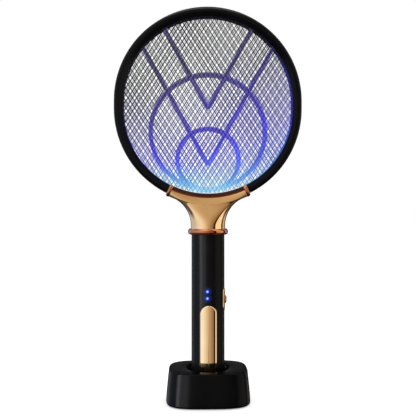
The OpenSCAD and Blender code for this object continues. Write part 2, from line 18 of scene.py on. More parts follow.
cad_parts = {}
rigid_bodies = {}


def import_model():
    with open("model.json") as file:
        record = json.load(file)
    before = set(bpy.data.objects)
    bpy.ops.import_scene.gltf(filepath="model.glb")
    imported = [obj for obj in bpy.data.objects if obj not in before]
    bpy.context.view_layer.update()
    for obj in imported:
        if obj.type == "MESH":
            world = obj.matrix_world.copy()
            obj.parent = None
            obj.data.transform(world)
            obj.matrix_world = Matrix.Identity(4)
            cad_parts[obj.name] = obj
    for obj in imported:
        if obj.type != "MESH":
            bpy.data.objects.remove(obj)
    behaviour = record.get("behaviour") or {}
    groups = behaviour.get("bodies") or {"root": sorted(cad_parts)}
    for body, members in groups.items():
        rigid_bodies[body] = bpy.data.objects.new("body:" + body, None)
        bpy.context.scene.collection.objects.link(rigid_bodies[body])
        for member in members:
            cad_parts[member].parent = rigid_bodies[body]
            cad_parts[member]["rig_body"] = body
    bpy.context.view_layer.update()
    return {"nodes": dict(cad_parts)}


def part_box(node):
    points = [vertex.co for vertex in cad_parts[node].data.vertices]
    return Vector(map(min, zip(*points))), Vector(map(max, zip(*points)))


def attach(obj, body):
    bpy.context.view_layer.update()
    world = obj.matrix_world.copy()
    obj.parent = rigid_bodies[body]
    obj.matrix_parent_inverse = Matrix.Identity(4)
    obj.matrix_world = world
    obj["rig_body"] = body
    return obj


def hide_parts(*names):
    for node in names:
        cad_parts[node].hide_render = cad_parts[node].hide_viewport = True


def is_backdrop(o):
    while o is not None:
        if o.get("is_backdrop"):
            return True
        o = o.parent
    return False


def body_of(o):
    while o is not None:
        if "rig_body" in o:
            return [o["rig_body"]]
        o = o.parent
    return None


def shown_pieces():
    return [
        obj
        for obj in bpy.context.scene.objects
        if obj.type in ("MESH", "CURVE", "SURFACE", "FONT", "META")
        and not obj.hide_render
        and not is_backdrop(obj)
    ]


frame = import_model()

# %% [markdown]
# ## Units and driving dimensions
#
# CAD works in millimetres and Blender in metres, so one name turns one into the other. Every place
# below is read from the frame's own boxes or follows from the few dimensions that the CAD model is
# driven by: the ring's radii, the handle's radius and the dock's outline.

# %% Dimensions taken from the frame
MM = 0.001


def box_mm(node):
    """Lowest and highest corner of a CAD node, in millimetres."""
    low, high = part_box(node)
    return low / MM, high / MM


ring_low, ring_high = box_mm("head_frame_front")
RING_R = ring_high.x
RING_HALF = -ring_low.y
RING_STRAIGHT = 8.8
RING_TOP = ring_high.z
HEAD_Z = RING_TOP - RING_R - RING_STRAIGHT / 2
ARC_Z = HEAD_Z - RING_STRAIGHT / 2
MESH_R = box_mm("brace_front")[1].x
INNER_R = MESH_R - 2.0
HANDLE_R = box_mm("handle_rear")[1].x
HANDLE_TOP = box_mm("handle_rear")[1].z
DOCK_HALF_W = box_mm("dock_housing")[1].x
DOCK_HALF_D = box_mm("dock_housing")[1].y
DOCK_TOP = box_mm("dock_deck")[1].z
print(f"ring {2 * RING_R:.1f} mm wide round z {HEAD_Z:.1f}")
print(f"handle radius {HANDLE_R:.1f} mm, deck at {DOCK_TOP:.1f} mm")

# %% [markdown]
# ## Camera
#
# The swatter is seen almost square on, from a little to its left, with a normal lens about three
# quarters of a metre away and level with the middle of the object. A level camera keeps the handle's
# sides parallel.

# %% The camera
CAMERA_DISTANCE = 738 * MM
CAMERA_HEIGHT = 213.5 * MM
CAMERA_SIDE = math.radians(-2)

camera_data = bpy.data.cameras.new("camera")
camera_data.lens = 57.5
camera_data.sensor_width = 36
camera_data.clip_start = 0.01
camera = bpy.data.objects.new("camera", camera_data)
bpy.context.scene.collection.objects.link(camera)
camera.location = (
    CAMERA_DISTANCE * math.sin(CAMERA_SIDE),
    -CAMERA_DISTANCE * math.cos(CAMERA_SIDE),
    CAMERA_HEIGHT,
)
camera.rotation_euler = (math.pi / 2, 0, CAMERA_SIDE)
bpy.context.scene.camera = camera
print("camera at", [round(v, 3) for v in camera.location])

# %% [markdown]
# ## A small kit for materials
#
# Every finish is a procedural node material. One function adds a node with its settings and links,
# one turns an sRGB hex colour to the linear values that the shader wants, and one starts a material
# with its Principled shader.

# %% Helpers for materials
def srgb(code):
    """Linear RGBA from a hex colour such as "d9a873"."""
    out = []
    for i in (0, 2, 4):
        c = int(code[i:i + 2], 16) / 255
        out.append(c / 12.92 if c <= 0.04045 else ((c + 0.055) / 1.055) ** 2.4)
    return (*out, 1.0)


def add(tree, kind, links=None, **settings):
    """Adds a node. settings are its properties, or its inputs when they start with in_."""
    node = tree.nodes.new(kind)
    for key, value in settings.items():
        if key.startswith("in_"):
            name = key[3:]
            node.inputs[int(name) if name.isdigit() else name.replace("_", " ")].default_value = value
        else:
            setattr(node, key, value)
    for key, source in (links or {}).items():
        tree.links.new(source, node.inputs[key])
    return node


def start_material(name, **settings):
    """A new material and its Principled shader, with the sockets in settings filled in."""
    material = bpy.data.materials.new(name)
    material.use_nodes = True
    tree = material.node_tree
    tree.nodes.clear()
    shader = add(tree, "ShaderNodeBsdfPrincipled")
    for key, value in settings.items():
        shader.inputs[key.replace("_", " ")].default_value = value
    out = add(tree, "ShaderNodeOutputMaterial", {"Surface": shader.outputs[0]})
    out.name = "out"
    return material, tree, shader


def stops(ramp_node, points):
    """Fills a colour ramp with (position, colour) stops."""
    ramp = ramp_node.color_ramp
    while len(ramp.elements) > 1:
        ramp.elements.remove(ramp.elements[0])
    ramp.elements[0].position, ramp.elements[0].color = points[0]
    for position, colour in points[1:]:
        element = ramp.elements.new(position)
        element.color = colour


BLOTCHES = 38  # soft blotches a metre, 26 mm each


def grain(tree, shader, scale, rough, swing, bump, depth):
    """Fine surface grain: roughness rough +- swing, and a bump depth metres deep, with a noise of
    scale cells a metre. Larger soft blotches, as handling leaves, shift the roughness as well, and
    their noise is handed back."""
    place = add(tree, "ShaderNodeTexCoord").outputs["Object"]
    fine = add(tree, "ShaderNodeTexNoise", {"Vector": place}, in_Scale=scale, in_Detail=3)
    soft = add(tree, "ShaderNodeTexNoise", {"Vector": place}, in_Scale=BLOTCHES, in_Detail=2)
    both = add(tree, "ShaderNodeMath", {0: fine.outputs[0], 1: soft.outputs[0]}, operation="ADD")
    level = add(tree, "ShaderNodeMapRange", {"Value": both.outputs[0]}, in_1=0.6, in_2=1.4,
                in_3=rough - swing, in_4=rough + swing)
    tree.links.new(level.outputs[0], shader.inputs["Roughness"])
    relief = add(tree, "ShaderNodeBump", {"Height": fine.outputs[0]}, in_Strength=bump, in_Distance=depth)
    tree.links.new(relief.outputs[0], shader.inputs["Normal"])
    return soft


# %% [markdown]
# ## Black ABS, three ways
#
# The ring, the handle and the dock are the same black ABS (IOR 1.54) from differently finished
# moulds. The handle's mould was lightly blasted, so it is satin. The ring's was half polished. The
# dock's was polished, so it is glossy and shows fine wiping marks. The blasting grit is about
# 0.05 mm, too fine to show, so it is drawn about 0.4 mm coarse. Black goods are usually lit between
# black flags, which keep the plastic deep black. A specular level far below the usual 0.5 does the
# same here, and the soft boxes at the end bring the highlights back. Parts that are out of sight are
# charcoal ABS from an unpolished mould, with the usual level.

# %% Black ABS
def black_abs(name, colour, rough, grit_mm, bump, gloss, swing=0.03):
    material, tree, shader = start_material(name, Base_Color=srgb(colour), IOR=1.54)
    soft = grain(tree, shader, 1 / (grit_mm * MM), rough, swing, bump, 0.02 * MM)
    dust = add(tree, "ShaderNodeValToRGB", {"Fac": soft.outputs[0]})
    lighter = tuple(c * 1.4 + 0.0003 for c in srgb(colour)[:3]) + (1.0,)
    stops(dust, [(0.35, srgb(colour)), (0.75, lighter)])
    tree.links.new(dust.outputs[0], shader.inputs["Base Color"])
    shader.inputs["Specular IOR Level"].default_value = gloss
    return material, tree, shader


HANDLE_FINISH = {"colour": "050506", "rough": 0.26, "grit_mm": 0.4, "bump": 0.06, "gloss": 0.045}
satin_abs = black_abs("abs_black_blasted_mould", **HANDLE_FINISH)[0]
ring_abs = black_abs("abs_black_semi_gloss_mould", "050506",
                     rough=0.2, grit_mm=0.6, bump=0.05, gloss=0.06)[0]
gloss_abs = black_abs("abs_black_polished_mould", "030304",
                      rough=0.2, grit_mm=0.9, bump=0.03, gloss=0.04)[0]
inner_abs = black_abs("abs_charcoal_unpolished_mould", "1c1c1f",
                      rough=0.55, grit_mm=0.5, bump=0.2, gloss=0.5, swing=0.08)[0]
print("materials:", [m.name for m in bpy.data.materials if m.name.startswith("abs")])

# %% [markdown]
# ## Plated ABS
#
# The neck, the collars and the switch are ABS with a vacuum-deposited metal film under a tinted
# lacquer. The film is a mirror, so the shader is fully metallic with its default IOR and a low
# roughness. The lacquer gives the rose tint. A long soft noise makes the slight ripple that a thin
# moulded wall shows under plating. The press bar has a paler champagne tint and a little more haze,
# the bead, collars and switch knob a redder copper tint. The saddle band is the same plating; its
# dark bronze colour without lacquer is a painted dark reflection.

# %% Plated finishes
def plated(name, face, edge, rough, ripple, lacquer=1.0):
    material, tree, shader = start_material(name, Base_Color=srgb(face), Metallic=1.0,
                                            Coat_Weight=lacquer, Coat_Roughness=0.04)
    soft = grain(tree, shader, 1 / (0.5 * MM), rough, rough * 0.35, ripple, 0.01 * MM)
    tint = add(tree, "ShaderNodeValToRGB", {"Fac": soft.outputs[0]})
    stops(tint, [(0.3, srgb(face)), (0.8, srgb(edge))])
    tree.links.new(tint.outputs[0], shader.inputs["Base Color"])
    return material


rose_gold = plated("abs_plated_rose_gold", "d5b07a", "cfa872", rough=0.06, ripple=0.015)
champagne = plated("abs_plated_champagne_gold", "e6c898", "dcbc8a", rough=0.08, ripple=0.015)
copper_tone = plated("abs_plated_copper_tone", "b06a44", "a05c3a", rough=0.06, ripple=0.015,
                     lacquer=0.4)
# The saddle's dark bronze colour is a painted dark reflection: the real band is the same plating as the
# neck.
saddle_painted_dark_reflection = plated("abs_plated_gold_painted_dark_reflection", "7c3c20", "6a3018", rough=0.2, ripple=0.03,
                     lacquer=0.0)

# %% [markdown]
# ## Steel wire and clear ribs under ultraviolet light
#
# The lamps sit at the bottom of the head and shine upwards between the meshes. Wire and ribs near
# them catch almost white cyan light, further up it turns blue, then violet, and the top stays grey
# steel. A thousand scattered glints are too fine to trace, so the caught light is written as a faint
# emission that depends only on the height above the lamps and a little on the side, as the stronger
# lamp is on the right. The wire is drawn steel, dull from its die, with the default metal IOR. The
# ribs are clear polycarbonate (IOR 1.58), so the meshes show through them.

# %% The lamp light as a colour that depends on height
LAMP_Z = (ARC_Z - INNER_R) * MM
GLOW_TOP = (HEAD_Z + 0.55 * RING_R) * MM


def lamp_light(tree, weight, colours):
    """Colour and strength of the lamp light at a point, from its height and side."""
    place = add(tree, "ShaderNodeTexCoord")
    parts = add(tree, "ShaderNodeSeparateXYZ", {"Vector": place.outputs["Object"]})
    share = add(tree, "ShaderNodeMapRange", {"Value": parts.outputs["Z"]},
                in_1=LAMP_Z + 20 * MM, in_2=LAMP_Z + 70 * MM, in_3=0.0, in_4=-0.35)
    lean = add(tree, "ShaderNodeMath", {0: parts.outputs["X"], 1: share.outputs[0]}, operation="MULTIPLY")
    height = add(tree, "ShaderNodeMath", {0: parts.outputs["Z"], 1: lean.outputs[0]}, operation="ADD")
    level = add(tree, "ShaderNodeMapRange", {"Value": height.outputs[0]}, in_1=LAMP_Z, in_2=GLOW_TOP)
    ramp = add(tree, "ShaderNodeValToRGB", {"Fac": level.outputs[0]})
    stops(ramp, colours)
    blotch = add(tree, "ShaderNodeTexNoise", {"Vector": place.outputs["Object"]}, in_Scale=45, in_Detail=2)
    strength = add(tree, "ShaderNodeMapRange", {"Value": blotch.outputs[0]}, in_1=0.3, in_2=0.7,
                   in_3=weight * 0.75, in_4=weight * 1.25)
    return ramp.outputs[0], strength.outputs[0]


WIRE_LIGHT = [
    (0.0, srgb("84cce2")), (0.07, srgb("66b0da")), (0.14, srgb("4688d2")), (0.22, srgb("3450c4")),
    (0.30, srgb("2c24b4")), (0.55, srgb("221a84")), (0.85, srgb("120e34")), (1.0, srgb("050507")),
]
RIB_LIGHT = [
    (0.0, srgb("a8e8f8")), (0.10, srgb("62a8ee")), (0.20, srgb("4a60f0")), (0.40, srgb("4536dc")),
    (0.65, srgb("3e3096")), (1.0, srgb("2e2650")),
]


def lit_wire(name, colour):
    material, tree, shader = start_material(name, Base_Color=srgb(colour), Metallic=1.0)
    grain(tree, shader, 1 / (0.8 * MM), rough=0.38, swing=0.08, bump=0.1, depth=0.01 * MM)
    light, strength = lamp_light(tree, 0.8, WIRE_LIGHT)
    tree.links.new(light, shader.inputs["Emission Color"])
    tree.links.new(strength, shader.inputs["Emission Strength"])
    return material


outer_wire = lit_wire("steel_wire_drawn_black", "232328")
inner_wire = lit_wire("steel_wire_drawn_bright", "505058")

rib_plastic, tree, shader = start_material("polycarbonate_moulded_clear", Base_Color=srgb("4a4478"),
                                           IOR=1.58)
shader.inputs["Alpha"].default_value = 0.55
grain(tree, shader, 1 / (0.7 * MM), rough=0.28, swing=0.06, bump=0.1, depth=0.02 * MM)
light, strength = lamp_light(tree, 0.9, RIB_LIGHT)
tree.links.new(light, shader.inputs["Emission Color"])
tree.links.new(strength, shader.inputs["Emission Strength"])

# %% [markdown]
# ## Small parts
#
# Lenses, brass, zinc-plated steel, rubber, solder mask and the rest. They are mostly out of sight,
# but the dock's underside, the charging pins and the pads show when the racket is lifted out.

# %% Small finishes
def small_finish(name, colour, rough, metallic=0.0, ior=1.5, grit_mm=0.6, bump=0.1):
    settings = {"Base_Color": srgb(colour), "Metallic": metallic}
    if not metallic:
        settings["IOR"] = ior
    material, tree, shader = start_material(name, **settings)
    grain(tree, shader, 1 / (grit_mm * MM), rough, rough * 0.25, bump, 0.02 * MM)
    return material, tree, shader


zinc_steel = small_finish("steel_zinc_plated", "b4b6b8", 0.3, 1.0)[0]
spring_wire = small_finish("steel_spring_drawn", "9a9ca0", 0.25, 1.0)[0]
pin_brass = small_finish("brass_gold_flashed", "d8b25c", 0.2, 1.0)[0]
foot_rubber = small_finish("rubber_moulded", "161616", 0.75, bump=0.3)[0]
solder_mask = small_finish("epoxy_board_solder_mask", "1d5a3a", 0.3)[0]
cell_wrap = small_finish("pvc_shrink_wrap", "2f66a8", 0.25, ior=1.53)[0]
ferrite = small_finish("ferrite_sintered", "2a2a2b", 0.6)[0]
dipped_epoxy = small_finish("epoxy_dipped", "9a3f28", 0.3)[0]
red_wire = small_finish("pvc_wire_red", "a81c18", 0.4)[0]
white_wire = small_finish("pvc_wire_white", "d8d8d2", 0.4)[0]
led_case = small_finish("epoxy_led_case", "e6e6ea", 0.3)[0]

# %% [markdown]
# ## Blue indicators
#
# Two blue lenses show the charge and the lamp. Their colour runs from nearly white in the middle to
# deep blue at the rim, and they throw a faint blue halo on the handle's front shell. A real light
# inside each lens would need many samples for the same small glow. So both are an emission that
# fades with the distance from the nearer lens.

# %% Blue indicator lenses and their halo on the handle
LED_ZS = (115.4, 122.7)
LED_X = -1.3


def led_light(tree, shader, reach, colours):
    """Light that fades with the distance from the nearer indicator, as a ramp over reach mm."""
    place = add(tree, "ShaderNodeTexCoord").outputs["Object"]
    gaps = []
    for z in LED_ZS:
        centre = (LED_X * MM, -HANDLE_R * MM, z * MM)
        gap = add(tree, "ShaderNodeVectorMath", {0: place}, operation="DISTANCE", in_1=centre)
        gaps.append(gap.outputs["Value"])
    near = add(tree, "ShaderNodeMath", {0: gaps[0], 1: gaps[1]}, operation="MINIMUM")
    level = add(tree, "ShaderNodeMapRange", {"Value": near.outputs[0]}, in_1=0.0, in_2=reach * MM)
    ramp = add(tree, "ShaderNodeValToRGB", {"Fac": level.outputs[0]})
    stops(ramp, [(position, srgb(code)) for position, code in colours])
    tree.links.new(ramp.outputs[0], shader.inputs["Emission Color"])
    shader.inputs["Emission Strength"].default_value = 1.0


led_lens, tree, shader = small_finish("acrylic_moulded_blue_lens", "1c4aa8", 0.12, ior=1.49)
led_light(tree, shader, 1.7, [(0.0, "e2f6ff"), (0.45, "8cc8ff"), (0.7, "2c66e8"), (1.0, "1236a8")])
shell_abs, tree, shader = black_abs("abs_black_blasted_mould_by_lamps", **HANDLE_FINISH)
led_light(tree, shader, 5.5, [(0.0, "1a44c0"), (0.3, "16389c"), (0.5, "0c1c58"), (1.0, "000000")])
lamp_cover, tree, shader = small_finish("acrylic_moulded_clear", "d8f4ff", 0.15, ior=1.49)
shader.inputs["Emission Color"].default_value = srgb("a8ecff")
shader.inputs["Emission Strength"].default_value = 2.0
print("halo round the lenses at", LED_ZS, "mm")

# %% [markdown]
# ## Dress the frame
#
# Every CAD node gets a finish, also the ones that finer pieces will stand for later, so that nothing
# is left plain. One table from finish to nodes reads like a maker's parts list.

# %% Dress the CAD nodes
FINISH = {
    ring_abs: ["head_frame_front", "head_frame_rear"],
    shell_abs: ["handle_front"],
    satin_abs: ["handle_rear", "end_cap"],
    gloss_abs: ["dock_housing", "dock_deck"],
    inner_abs: ["mesh_spacer_front", "mesh_spacer_rear", "slide_switch", "tact_switch", "battery_tray",
                "dock_base_plate"],
    rose_gold: ["neck_front", "neck_rear", "neck_collar"],
    copper_tone: ["collar_left", "collar_right", "switch_bezel", "switch_knob"],
    saddle_painted_dark_reflection: ["saddle_front", "saddle_rear"],
    champagne: ["zap_button"],
    outer_wire: ["grille_front", "grille_rear"],
    inner_wire: ["hv_grid"],
    rib_plastic: ["brace_front", "brace_rear"],
    lamp_cover: ["lamp_lens"],
    led_lens: ["indicator_lenses"],
    led_case: ["uv_leds", "indicator_leds"],
    zinc_steel: ["head_screws", "handle_screws", "dock_screws", "usb_socket"],
    spring_wire: ["button_springs", "pogo_springs"],
    pin_brass: ["charge_pads", "pogo_pin_left", "pogo_pin_right", "pogo_barrels"],
    foot_rubber: ["dock_feet"],
    solder_mask: ["lamp_board", "main_board", "dock_board"],
    cell_wrap: ["battery_cell"],
    ferrite: ["transformer"],
    dipped_epoxy: ["hv_capacitors"],
    red_wire: ["hv_leads"],
    white_wire: ["lamp_leads"],
}


def dress(obj, material):
    obj.data.materials.clear()
    obj.data.materials.append(material)


for material, nodes in FINISH.items():
    for node in nodes:
        dress(frame["nodes"][node], material)
dressed = {n for nodes in FINISH.values() for n in nodes}
print("nodes without a finish:", sorted(set(frame["nodes"]) - dressed))

# %% [markdown]
# ## A small kit for pieces
#
# Every piece is a skin through rings of points, in millimetres. A loft closes its two ends with caps,
# or joins its last ring to its first. One function turns such skins into an object that stands for a
# CAD node, moves with that node's body and is dressed in the material that it is given.

# %% Helpers for pieces
def loft(rings, wrap=False):
    """Points and faces of a closed skin through rings, capped at both ends unless it wraps round."""
    count, last = len(rings[0]), len(rings) - 1
    faces = []
    for k in range(len(rings) if wrap else last):
        a, b = k * count, (k + 1) % len(rings) * count
        faces += [[a + i, a + (i + 1) % count, b + (i + 1) % count, b + i] for i in range(count)]
    if not wrap:
        faces += [list(range(count)), list(range(last * count, (last + 1) * count))]
    return [point for ring in rings for point in ring], faces


def moved(part, matrix):
    """The same skin after a 4x4 matrix."""
    points, faces = part
    return [tuple(matrix @ Vector(point)) for point in points], faces


def revolve(profile, count=64, wrap=False):
    """A turned skin about Z from (radius, height) pairs."""
    turns = [2 * math.pi * i / count for i in range(count)]
    return loft([[(r * math.cos(t), r * math.sin(t), z) for t in turns] for r, z in profile], wrap)


def make(name, parts, material, node, crease=38):
    """One object from skins. It stands for a CAD node and moves with the same body."""
    points, faces = [], []
    for part_points, part_faces in parts:
        faces += [[len(points) + i for i in face] for face in part_faces]
        points += part_points
    data = bpy.data.meshes.new(name)
    data.from_pydata([Vector(point) * MM for point in points], [], faces)
    mesh = bmesh.new()
    mesh.from_mesh(data)
    bmesh.ops.recalc_face_normals(mesh, faces=mesh.faces)
    mesh.to_mesh(data)
    mesh.free()
    data.shade_smooth()
    data.set_sharp_from_angle(angle=math.radians(crease))
    obj = bpy.data.objects.new(name, data)
    bpy.context.scene.collection.objects.link(obj)
    dress(obj, material)
    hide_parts(node)
    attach(obj, body_of(frame["nodes"][node])[0])
    print(f"{name}: {len(points)} points")
    return obj


# %% [markdown]
# ## Three wire meshes
#
# Each mesh is woven from two families of straight wires that cross as tall diamonds. The two outer
# ones are earthed guards and the middle one carries the high voltage. Weaving in simulation or an
# image would do, but a wire that steps over and under at every crossing is exact and light: a
# four-sided tube with one ring of points a crossing. The real wires are about 0.5 mm thick and 3 to
# 4 mm apart. The front guard is drawn with 1 mm wires 4 mm apart, so that single wires still show.
# The live mesh behind it is twice as open. Seen from the front the three lattices almost line up, and
# the small drift between them gives the shimmer of the real layers.

# %% Wire meshes
WIRE_ANGLE = math.radians(57)
WIRE_FLAT = 0.34  # half of the greatest thickness front to back, so that the layers stay apart
LAMP_HALF = math.radians(22.5)


def oval_span(px, pz, dx, dz, radius):
    """Where a line enters and leaves the head's oval, as distances along it, or None."""
    spans = []
    for centre in (-RING_STRAIGHT / 2, RING_STRAIGHT / 2):
        fz = pz - centre
        b = px * dx + fz * dz
        inside = b * b - (px * px + fz * fz - radius * radius)
        if inside > 0:
            spans += [-b - math.sqrt(inside), -b + math.sqrt(inside)]
    return (min(spans), max(spans)) if spans else None


def in_lamp_sector(x, z):
    """True over the lamps' board at the bottom, where the wires end a little earlier."""
    return z < 0 and abs(math.atan2(x, -z - RING_STRAIGHT / 2)) < LAMP_HALF


def wire_family(side, radius, pitch, wire, weave, depth, lift):
    """All wires of one direction, as skins. side is 1 or -1 for the way they lean."""
    dx, dz = math.cos(WIRE_ANGLE) * side, math.sin(WIRE_ANGLE)
    nx, nz = -dz, dx
    step = pitch / abs(math.sin(2 * WIRE_ANGLE))
    out = []
    for k in range(-int(radius / pitch) - 2, int(radius / pitch) + 3):
        px, pz = nx * (k + 0.5) * pitch, nz * (k + 0.5) * pitch + lift
        span = oval_span(px, pz, dx, dz, radius)
        short = oval_span(px, pz, dx, dz, INNER_R - 0.9)
        if not span or span[1] - span[0] < 6:
            continue
        ends = list(span)
        for i, t in enumerate(span):
            if short and in_lamp_sector(px + dx * t, pz + dz * t):
                ends[i] = short[i]
        shift = (k + 0.5) * pitch / math.tan(2 * WIRE_ANGLE) * side
        first = math.ceil((ends[0] - shift) / step - 0.5)
        stations = [ends[0]]
        t = shift + (first + 0.5) * step
        while t < ends[1] - 0.3:
            if t > ends[0] + 0.3:
                stations.append(t)
            t += step
        stations.append(ends[1])
        half, flat = wire / 2, min(wire / 2, WIRE_FLAT)
        rings = []
        for n, t in enumerate(stations):
            x, z = px + dx * t, pz + dz * t
            over = depth + weave * side * (1 if (n + k) % 2 else -1)
            rings.append([
                (x + nx * half, over, z + nz * half), (x, over + flat, z),
                (x - nx * half, over, z - nz * half), (x, over - flat, z),
            ])
        out.append(loft(rings))
    return out


def oval_ring(radius, depth, count=96):
    """Points round the head's oval at one depth."""
    out = []
    for i in range(count):
        a = 2 * math.pi * (i + 0.5) / count
        z = radius * math.sin(a) + math.copysign(RING_STRAIGHT / 2, math.sin(a))
        out.append((radius * math.cos(a), depth, z))
    return out


def wire_mesh(name, node, material, pitch, wire, depth, weave, lift, radius, rim):
    """Two families of woven wires, and the flat rim that a grille is welded to."""
    up = Matrix.Translation((0, 0, HEAD_Z))
    parts = []
    for side in (1, -1):
        parts += [moved(p, up) for p in wire_family(side, radius, pitch, wire, weave, depth, lift)]
    if rim:
        r_in, half = INNER_R - 0.4, 0.4
        corners = [(r_in, -half), (MESH_R, -half), (MESH_R, half), (r_in, half)]
        parts.append(moved(loft([oval_ring(r, depth + y) for r, y in corners], wrap=True), up))
    return make(name, parts, material, node, crease=180)


wire_mesh("guard_mesh_front", "grille_front", outer_wire, pitch=4.0, wire=0.96, depth=-5.4, weave=0.05,
          lift=0.0, radius=MESH_R - 0.5, rim=True)
wire_mesh("guard_mesh_rear", "grille_rear", outer_wire, pitch=4.0, wire=0.42, depth=5.4, weave=0.05,
          lift=1.7, radius=MESH_R - 0.5, rim=True)
wire_mesh("live_mesh", "hv_grid", inner_wire, pitch=8.0, wire=0.6, depth=0.0, weave=0.2,
          lift=0.85, radius=MESH_R - 0.6, rim=False)

# %% [markdown]
# ## The plated neck
#
# Two thin covers meet at the side and wrap the bottom of the ring. They flare from the round handle
# into the ring's arc, so the reflections sweep along them as long curved bands. The CAD frame has
# the same surface in few facets. It is built here again from the same curves with many more rows,
# because a mirror shows every facet. Subdividing the CAD faces would leave their slopes unchanged.

# %% Neck covers
NECK_WRAP = math.radians(24)
NECK_R = 19.0
NECK_WALL = 1.6
NECK_ROWS, CROWN_ROWS, NECK_COLS = 30, 16, 120
WRAP_R = RING_R + 2.2
WRAP_HALF = RING_HALF + 2.2
CROWN_R = RING_R - 4.1
CROWN_END_R = RING_R - 5.2
CROWN_POWER = 3.5
NECK_BOTTOM = HANDLE_TOP + 6.4
BEND_Z = NECK_BOTTOM + 3.4
MID_DEPTH = WRAP_HALF + 1.1
FLARE_DX = WRAP_R * math.sin(NECK_WRAP) - NECK_R
FLARE_DZ = ARC_Z - WRAP_R * math.cos(NECK_WRAP) - BEND_Z
FLARE_R = (FLARE_DX ** 2 + FLARE_DZ ** 2) / (2 * FLARE_DX)
FLARE_END = math.atan2(FLARE_DZ, FLARE_DX - FLARE_R)


def flare_row(f, t):
    """Side x, side z, middle z, side depth, middle depth and roundness at f up the flare, t inside."""
    a = math.pi + (FLARE_END - math.pi) * f
    r = FLARE_R + t
    return (NECK_R + FLARE_R + r * math.cos(a), BEND_Z + r * math.sin(a),
            BEND_Z + (ARC_Z - WRAP_R + t - BEND_Z) * f, 0,
            NECK_R - t + (MID_DEPTH - NECK_R) * f * f * (3 - 2 * f), 2 + 0.8 * f)


def crown_row(f, t):
    """The same over the crown, where the cover rolls over the ring's front face."""
    a = math.pi / 2 * f
    r = CROWN_R + (WRAP_R - CROWN_R - t) * math.cos(a) ** (2 / CROWN_POWER)
    e = (WRAP_HALF - t) * math.sin(a) ** (2 / CROWN_POWER)
    return (r * math.sin(NECK_WRAP), ARC_Z - r * math.cos(NECK_WRAP), ARC_Z - r, e,
            max(e, MID_DEPTH - t - 1.1 * f ** 4), 2.8)


def neck_point(row, u):
    s = math.sin(math.pi / 2 * u)
    sag = (1 - math.sqrt(1 - (s * math.sin(NECK_WRAP)) ** 2)) / (1 - math.cos(NECK_WRAP))
    crown = max(0.0, 1 - abs(s) ** row[5]) ** (1 / row[5])
    return (row[0] * s, -(row[3] + (row[4] - row[3]) * crown), row[2] + (row[1] - row[2]) * sag)


def neck_rows(t):
    rows = [(NECK_R - t, NECK_BOTTOM, NECK_BOTTOM, 0, NECK_R - t, 2)]
    rows += [flare_row(k / NECK_ROWS, t) for k in range(NECK_ROWS + 1)]
    rows += [crown_row((k / CROWN_ROWS) ** 1.5, t) for k in range(1, CROWN_ROWS + 1)]
    x, z = CROWN_END_R * math.sin(NECK_WRAP), ARC_Z - CROWN_END_R * math.cos(NECK_WRAP)
    edge = WRAP_HALF - t - (0.5 if t == 0 else 0)
    rows.append((x, z, ARC_Z - CROWN_END_R, edge, edge, 2.8))
    return rows


def neck_cover(mirror):
    """Outer skin up, over the edge and back down the lining, as one closed loft."""
    columns = [2 * c / NECK_COLS - 1 for c in range(NECK_COLS + 1)]
    outer = [[neck_point(row, u) for u in columns] for row in neck_rows(0)]
    inner = [[neck_point(row, u) for u in columns] for row in neck_rows(NECK_WALL)]
    rings = [out + back[::-1] for out, back in zip(outer, inner)]
    points, faces = loft(rings)
    count, last = len(rings[0]), len(rings) - 1
    faces = faces[:-2]
    for k in (0, last):
        a = k * count
        faces += [[a + i, a + i + 1, a + count - 2 - i, a + count - 1 - i] for i in range(NECK_COLS)]
    return [(x, y * mirror, z) for x, y, z in points], faces


make("neck_cover_front", [neck_cover(1)], rose_gold, "neck_front")
make("neck_cover_rear", [neck_cover(-1)], rose_gold, "neck_rear")

# %% [markdown]
# ## Bead and collars
#
# A plated bead closes the foot of the neck, and a half-round band grips the ring at each end of it.
# Each band is bent round the ring's section, open at the meshes, with small ball ends. It is a flat
# oval section swept along a rounded rectangle, which hugs the ring as the real band does.

# %% Bead and collars
BEAD_R, BEAD_TUBE, BEAD_HALF = HANDLE_R + 0.2, 3.8, 3.2
top = math.asin(BEAD_HALF / BEAD_TUBE)
turns = [top * f / 12 for f in range(-12, 13)]
profile = [(BEAD_R + BEAD_TUBE * math.cos(a), BEAD_TUBE * math.sin(a)) for a in turns]
profile += [(HANDLE_R - 1.6, BEAD_HALF), (HANDLE_R - 1.6, -BEAD_HALF)]
bead = moved(revolve(profile, 128, wrap=True), Matrix.Translation((0, 0, HANDLE_TOP + BEAD_HALF)))
make("neck_bead", [bead], copper_tone, "neck_collar", crease=50)

BAND_R, BAND_HALF_R, BAND_HALF_Y, BAND_POWER = RING_R - 4.2, 5.7, RING_HALF + 1.6, 3.5
BAND_END = math.radians(150)
BAND_WIDE, BAND_HIGH = 2.0, 1.45


def band_point(a):
    """Centre line of a collar band in its own plane: radius from the arc's centre, and depth."""
    c, s = math.cos(a), math.sin(a)
    return (BAND_R + BAND_HALF_R * math.copysign(abs(c) ** (2 / BAND_POWER), c),
            BAND_HALF_Y * math.copysign(abs(s) ** (2 / BAND_POWER), s))


